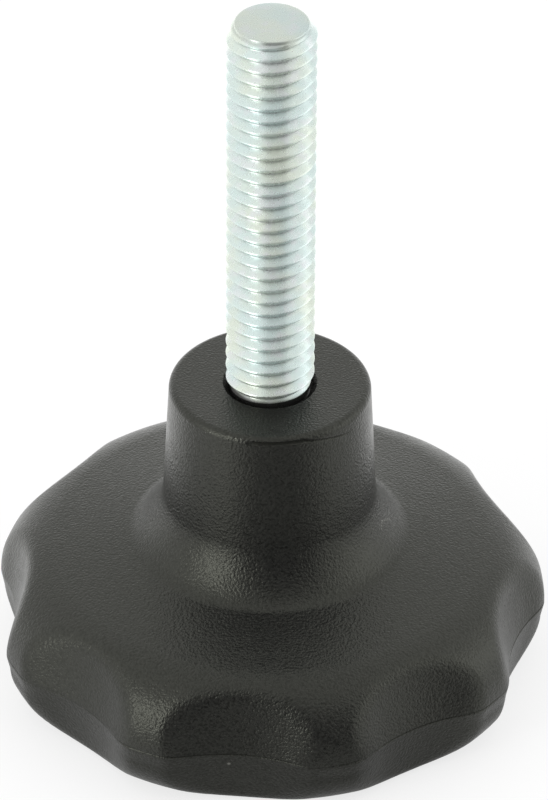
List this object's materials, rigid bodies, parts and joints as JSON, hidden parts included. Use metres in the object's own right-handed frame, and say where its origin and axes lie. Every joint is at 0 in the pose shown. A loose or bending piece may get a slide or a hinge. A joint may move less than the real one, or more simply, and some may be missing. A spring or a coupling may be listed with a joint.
{
  "type": "star knob bolt",
  "caption": "Fluted black plastic hand knob on a tapered hub, moulded round a zinc plated steel stud with a coarse thread, for clamping by hand.",
  "frame": {"origin": "middle of the flat crown that the knob stands on", "axes": "+Z runs from the crown up through the hub and along the stud; -Y points through the middle of one flute"},
  "size_m": [0.0498, 0.0493, 0.0675],
  "materials": {
    "knob_plastic": "fine matt spark grain, black glass filled polyamide",
    "stud_steel": "rolled thread, bright zinc plated with clear blue passivation"
  },
  "bodies": {
    "root": {"knob": "knob_plastic", "stud": "stud_steel"}
  },
  "joints": []
}
